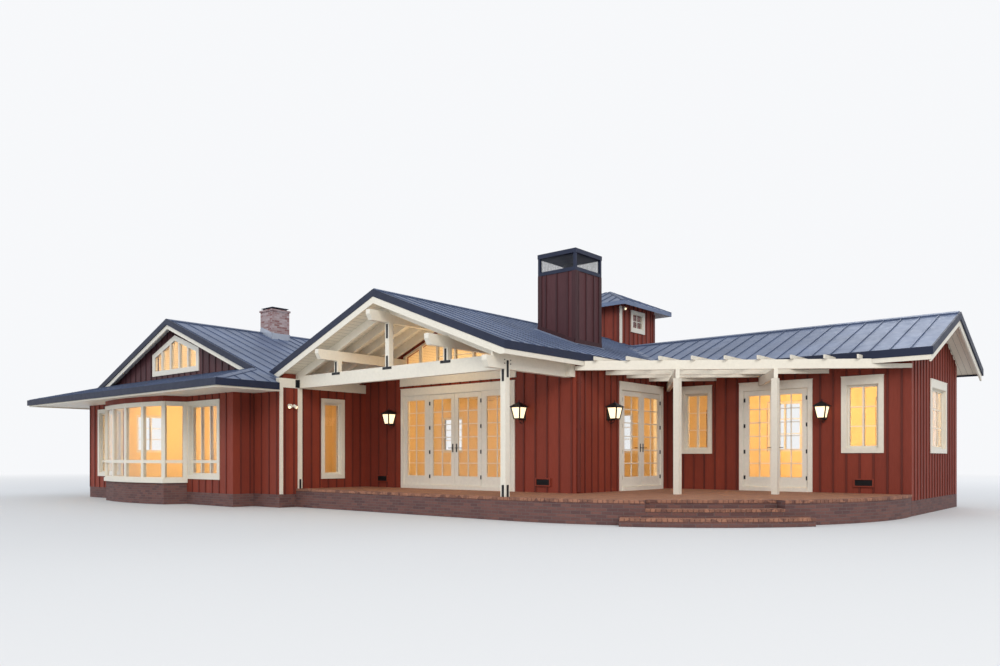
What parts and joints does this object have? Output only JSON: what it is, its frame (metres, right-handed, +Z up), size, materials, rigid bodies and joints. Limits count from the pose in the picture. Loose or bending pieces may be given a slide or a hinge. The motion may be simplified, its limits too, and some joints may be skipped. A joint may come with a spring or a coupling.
{
  "type": "board and batten ranch house",
  "caption": "Single storey board and batten house with standing seam metal roofs, an open truss porch, a bow window, a corner pergola on a round brick terrace, chimneys and hinged glass doors.",
  "frame": {"origin": "on the ground below the middle of the whole house in plan", "axes": "+X along the fronts to the right wing, +Y from the porch towards the back, +Z up"},
  "size_m": [26.09, 17.55, 7.25],
  "materials": {
    "siding": "stained board and batten siding, barn red",
    "trim": "cream painted timber",
    "door_paint": "cream painted door timber",
    "roof_metal": "blue grey standing seam metal",
    "dark_metal": "dark blue painted metal edge",
    "brick": "red brown brick laid in mortar",
    "chimney_brick": "mottled brick laid in mortar",
    "floor_boards": "oiled floor boards",
    "glass": "clear window glass",
    "iron": "black painted iron"
  },
  "bodies": {
    "house": {"foundation": "brick", "floor": "floor_boards", "terrace": "brick", "terrace_steps": "brick", "left_wing_front_wall": "siding", "left_wing_side_wall": "siding", "left_wing_back_wall": "siding", "left_wing_gable_wall": "siding", "link_wall": "siding", "porch_left_wall": "siding", "porch_wall_left": "siding", "porch_wall_right": "siding", "porch_gable_wall": "siding", "side_wall_front": "siding", "side_wall_back": "siding", "door_header_walls": "siding", "right_wing_wall_left": "siding", "right_wing_wall_right": "siding", "right_wing_end_wall": "siding", "right_wing_back_wall": "siding", "pavilion_left_wall": "siding", "pavilion_back_wall": "siding", "pavilion_right_wall": "siding", "bow_base": "brick", "bow_window": "trim", "left_wing_roof_left": "roof_metal", "left_wing_roof_right": "roof_metal", "left_wing_skirt_roof": "roof_metal", "pavilion_roof_left": "roof_metal", "pavilion_roof_right": "roof_metal", "right_wing_roof_front": "roof_metal", "right_wing_roof_back": "roof_metal", "left_wing_soffit": "trim", "metal_fascias": "dark_metal", "rake_boards": "trim", "tower_walls": "siding", "tower_roof": "roof_metal", "chimney_chase": "siding", "chimney_cap": "dark_metal", "brick_chimney": "chimney_brick", "porch_posts": "trim", "porch_truss": "trim", "porch_beams": "trim", "porch_rafters": "trim", "iron_straps": "iron", "pergola_posts": "trim", "pergola_beams": "trim", "pergola_rafters": "trim", "window_frames": "trim", "window_glass": "glass", "porch_sidelights": "door_paint", "door_frames": "door_paint", "door_casings": "door_paint", "wall_lanterns": "iron"},
    "porch_door_left": {"porch_door_left": "door_paint"},
    "porch_door_right": {"porch_door_right": "door_paint"},
    "side_door_front": {"side_door_front": "door_paint"},
    "side_door_back": {"side_door_back": "door_paint"},
    "wing_door_left": {"wing_door_left": "door_paint"},
    "wing_door_right": {"wing_door_right": "door_paint"}
  },
  "joints": [
    {"name": "porch_door_left_hinge", "type": "hinge", "parent": "house", "child": "porch_door_left", "pos_m": [1.4545, -3.743, 0.6], "axis": [0, 0, -1], "range_deg": [0, 90]},
    {"name": "porch_door_right_hinge", "type": "hinge", "parent": "house", "child": "porch_door_right", "pos_m": [3.3555, -3.743, 0.6], "axis": [0, 0, 1], "range_deg": [0, 90]},
    {"name": "side_door_front_hinge", "type": "hinge", "parent": "house", "child": "side_door_front", "pos_m": [6.333, -1.7005, 0.6], "axis": [0, 0, -1], "range_deg": [0, 90]},
    {"name": "side_door_back_hinge", "type": "hinge", "parent": "house", "child": "side_door_back", "pos_m": [6.333, 0.2805, 0.6], "axis": [0, 0, 1], "range_deg": [0, 90]},
    {"name": "wing_door_left_hinge", "type": "hinge", "parent": "house", "child": "wing_door_left", "pos_m": [8.5245, 0.717, 0.6], "axis": [0, 0, -1], "range_deg": [0, 90]},
    {"name": "wing_door_right_hinge", "type": "hinge", "parent": "house", "child": "wing_door_right", "pos_m": [10.1455, 0.717, 0.6], "axis": [0, 0, 1], "range_deg": [0, 90]}
  ]
}
